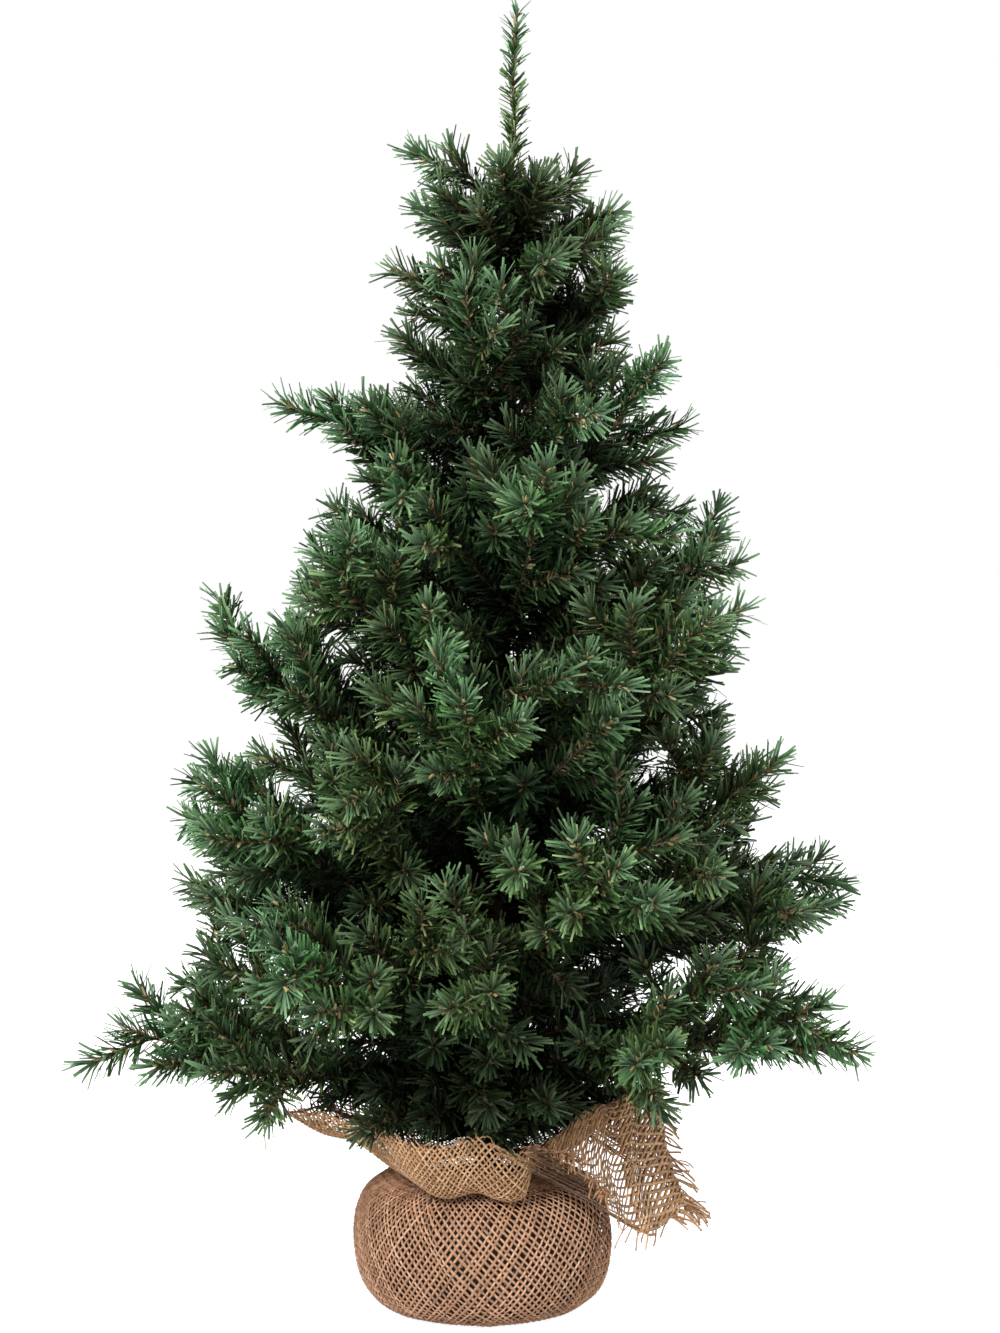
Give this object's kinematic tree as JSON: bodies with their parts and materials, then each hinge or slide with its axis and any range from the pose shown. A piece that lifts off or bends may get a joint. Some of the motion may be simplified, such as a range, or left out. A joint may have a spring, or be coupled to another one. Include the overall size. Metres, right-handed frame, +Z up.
{
  "type": "artificial tabletop tree",
  "caption": "Small artificial fir tree with wire branches and soft green needles, standing in a burlap-wrapped round base.",
  "frame": {"origin": "centre of the burlap's flat underside, where the tree stands on a table", "axes": "+Z up along the tree, +X to the right and -Y to the front, where the burlap's tuck shows"},
  "size_m": [0.3529, 0.3411, 0.6102],
  "materials": {
    "cement": "matte",
    "rod_steel": "satin",
    "tape": "matte",
    "burlap": "matte",
    "twine": "matte",
    "wire": "satin",
    "needles": "satin"
  },
  "bodies": {
    "base": {"base_weight": "cement", "trunk_rod": "rod_steel", "trunk_tape": "tape", "burlap_wrap": "burlap", "twine_tie": "twine"},
    "branch_01": {"branch_01_wire": "wire", "branch_01_needles": "needles"},
    "branch_02": {"branch_02_wire": "wire", "branch_02_needles": "needles"},
    "branch_03": {"branch_03_wire": "wire", "branch_03_needles": "needles"},
    "branch_04": {"branch_04_wire": "wire", "branch_04_needles": "needles"},
    "branch_05": {"branch_05_wire": "wire", "branch_05_needles": "needles"},
    "branch_06": {"branch_06_wire": "wire", "branch_06_needles": "needles"},
    "branch_07": {"branch_07_wire": "wire", "branch_07_needles": "needles"},
    "branch_08": {"branch_08_wire": "wire", "branch_08_needles": "needles"},
    "branch_09": {"branch_09_wire": "wire", "branch_09_needles": "needles"},
    "branch_10": {"branch_10_wire": "wire", "branch_10_needles": "needles"},
    "branch_11": {"branch_11_wire": "wire", "branch_11_needles": "needles"},
    "branch_12": {"branch_12_wire": "wire", "branch_12_needles": "needles"},
    "branch_13": {"branch_13_wire": "wire", "branch_13_needles": "needles"},
    "branch_14": {"branch_14_wire": "wire", "branch_14_needles": "needles"},
    "branch_15": {"branch_15_wire": "wire", "branch_15_needles": "needles"},
    "branch_16": {"branch_16_wire": "wire", "branch_16_needles": "needles"},
    "branch_17": {"branch_17_wire": "wire", "branch_17_needles": "needles"},
    "branch_18": {"branch_18_wire": "wire", "branch_18_needles": "needles"},
    "branch_19": {"branch_19_wire": "wire", "branch_19_needles": "needles"},
    "branch_20": {"branch_20_wire": "wire", "branch_20_needles": "needles"},
    "branch_21": {"branch_21_wire": "wire", "branch_21_needles": "needles"},
    "branch_22": {"branch_22_wire": "wire", "branch_22_needles": "needles"},
    "branch_23": {"branch_23_wire": "wire", "branch_23_needles": "needles"},
    "branch_24": {"branch_24_wire": "wire", "branch_24_needles": "needles"},
    "branch_25": {"branch_25_wire": "wire", "branch_25_needles": "needles"},
    "branch_26": {"branch_26_wire": "wire", "branch_26_needles": "needles"},
    "leader": {"leader_wire": "wire", "leader_needles": "needles"}
  },
  "joints": [
    {"name": "branch_01_bend", "type": "hinge", "parent": "base", "child": "branch_01", "pos_m": [-0.0048, -0.00105, 0.101], "axis": [-0.1392, 0.9903, 0], "range_deg": [-8, 24], "deforming": ["branch_01_needles"]},
    {"name": "branch_02_bend", "type": "hinge", "parent": "base", "child": "branch_02", "pos_m": [0.00904, -0.00424, 0.10952], "axis": [-0.5663, -0.8242, 0], "range_deg": [-8, 24], "deforming": ["branch_02_needles"]},
    {"name": "branch_03_bend", "type": "hinge", "parent": "base", "child": "branch_03", "pos_m": [0.00141, 0.00727, 0.1182], "axis": [0.9743, 0.2252, 0], "range_deg": [-8, 24], "deforming": ["branch_03_needles"]},
    {"name": "branch_04_bend", "type": "hinge", "parent": "base", "child": "branch_04", "pos_m": [-0.00033, -0.00647, 0.12705], "axis": [-0.8706, 0.4921, 0], "range_deg": [-8, 24], "deforming": ["branch_04_needles"]},
    {"name": "branch_05_bend", "type": "hinge", "parent": "base", "child": "branch_05", "pos_m": [0.0106, 0.00229, 0.13609], "axis": [0.3095, -0.9509, 0], "range_deg": [-8, 24], "deforming": ["branch_05_needles"]},
    {"name": "branch_06_bend", "type": "hinge", "parent": "base", "child": "branch_06", "pos_m": [-0.00289, 0.00305, 0.14533], "axis": [0.4141, 0.9103, 0], "range_deg": [-8, 24], "deforming": ["branch_06_needles"]},
    {"name": "branch_07_bend", "type": "hinge", "parent": "base", "child": "branch_07", "pos_m": [0.00668, -0.00684, 0.15477], "axis": [-0.9333, -0.3591, 0], "range_deg": [-8, 24], "deforming": ["branch_07_needles"]},
    {"name": "branch_08_bend", "type": "hinge", "parent": "base", "child": "branch_08", "pos_m": [0.00631, 0.00702, 0.16694], "axis": [0.9639, -0.2663, 0], "range_deg": [-8, 24], "deforming": ["branch_08_needles"]},
    {"name": "branch_09_bend", "type": "hinge", "parent": "base", "child": "branch_09", "pos_m": [-0.00171, -0.00363, 0.17435], "axis": [-0.501, 0.8655, 0], "range_deg": [-8, 24], "deforming": ["branch_09_needles"]},
    {"name": "branch_10_bend", "type": "hinge", "parent": "base", "child": "branch_10", "pos_m": [0.01182, -0.0018, 0.18452], "axis": [-0.2492, -0.9685, 0], "range_deg": [-8, 24], "deforming": ["branch_10_needles"]},
    {"name": "branch_11_bend", "type": "hinge", "parent": "base", "child": "branch_11", "pos_m": [0.00098, 0.00588, 0.19497], "axis": [0.8184, 0.5747, 0], "range_deg": [-8, 24], "deforming": ["branch_11_needles"]},
    {"name": "branch_12_bend", "type": "hinge", "parent": "base", "child": "branch_12", "pos_m": [0.00485, -0.00709, 0.21073], "axis": [-0.9955, 0.0943, 0], "range_deg": [-8, 24], "deforming": ["branch_12_needles"]},
    {"name": "branch_13_bend", "type": "hinge", "parent": "base", "child": "branch_13", "pos_m": [0.01111, 0.00457, 0.21682], "axis": [0.6441, -0.765, 0], "range_deg": [-8, 24], "deforming": ["branch_13_needles"]},
    {"name": "branch_14_bend", "type": "hinge", "parent": "base", "child": "branch_14", "pos_m": [-0.001, -0.0002, 0.23078], "axis": [-0.028, 0.9996, 0], "range_deg": [-8, 24], "deforming": ["branch_14_needles"]},
    {"name": "branch_15_bend", "type": "hinge", "parent": "base", "child": "branch_15", "pos_m": [0.01175, -0.0044, 0.24015], "axis": [-0.6278, -0.7784, 0], "range_deg": [-8, 24], "deforming": ["branch_15_needles"]},
    {"name": "branch_16_bend", "type": "hinge", "parent": "base", "child": "branch_16", "pos_m": [0.00618, 0.00693, 0.25748], "axis": [0.9968, 0.0805, 0], "range_deg": [-8, 24], "deforming": ["branch_16_needles"]},
    {"name": "branch_17_bend", "type": "hinge", "parent": "base", "child": "branch_17", "pos_m": [0.00212, -0.00481, 0.27032], "axis": [-0.6963, 0.7178, 0], "range_deg": [-8, 24], "deforming": ["branch_17_needles"]},
    {"name": "branch_18_bend", "type": "hinge", "parent": "base", "child": "branch_18", "pos_m": [0.01417, 0.0002, 0.27874], "axis": [0.0285, -0.9996, 0], "range_deg": [-8, 24], "deforming": ["branch_18_needles"]},
    {"name": "branch_19_bend", "type": "hinge", "parent": "base", "child": "branch_19", "pos_m": [0.00214, 0.00389, 0.29533], "axis": [0.5715, 0.8206, 0], "range_deg": [-8, 24], "deforming": ["branch_19_needles"]},
    {"name": "branch_20_bend", "type": "hinge", "parent": "base", "child": "branch_20", "pos_m": [0.00954, -0.00661, 0.3077], "axis": [-0.9757, -0.219, 0], "range_deg": [-8, 24], "deforming": ["branch_20_needles"]},
    {"name": "branch_21_bend", "type": "hinge", "parent": "base", "child": "branch_21", "pos_m": [0.01187, 0.00581, 0.32599], "axis": [0.8674, -0.4976, 0], "range_deg": [-8, 24], "deforming": ["branch_21_needles"]},
    {"name": "branch_22_bend", "type": "hinge", "parent": "base", "child": "branch_22", "pos_m": [0.00273, -0.00224, 0.34291], "axis": [-0.3366, 0.9417, 0], "range_deg": [-8, 24], "deforming": ["branch_22_needles"]},
    {"name": "branch_23_bend", "type": "hinge", "parent": "base", "child": "branch_23", "pos_m": [0.01527, -0.00297, 0.35873], "axis": [-0.4513, -0.8924, 0], "range_deg": [-8, 24], "deforming": ["branch_23_needles"]},
    {"name": "branch_24_bend", "type": "hinge", "parent": "base", "child": "branch_24", "pos_m": [0.00784, 0.00617, 0.37888], "axis": [0.9473, 0.3203, 0], "range_deg": [-8, 24], "deforming": ["branch_24_needles"]},
    {"name": "branch_25_bend", "type": "hinge", "parent": "base", "child": "branch_25", "pos_m": [0.00855, -0.00612, 0.40155], "axis": [-0.9521, 0.3058, 0], "range_deg": [-8, 24], "deforming": ["branch_25_needles"]},
    {"name": "branch_26_bend", "type": "hinge", "parent": "base", "child": "branch_26", "pos_m": [0.01691, 0.00275, 0.428], "axis": [0.4337, -0.9011, 0], "range_deg": [-8, 24], "deforming": ["branch_26_needles"]},
    {"name": "leader_bend", "type": "hinge", "parent": "base", "child": "leader", "pos_m": [0.01215, 0, 0.464], "axis": [0, 1, 0], "range_deg": [-15, 15], "deforming": ["leader_needles"]}
  ]
}
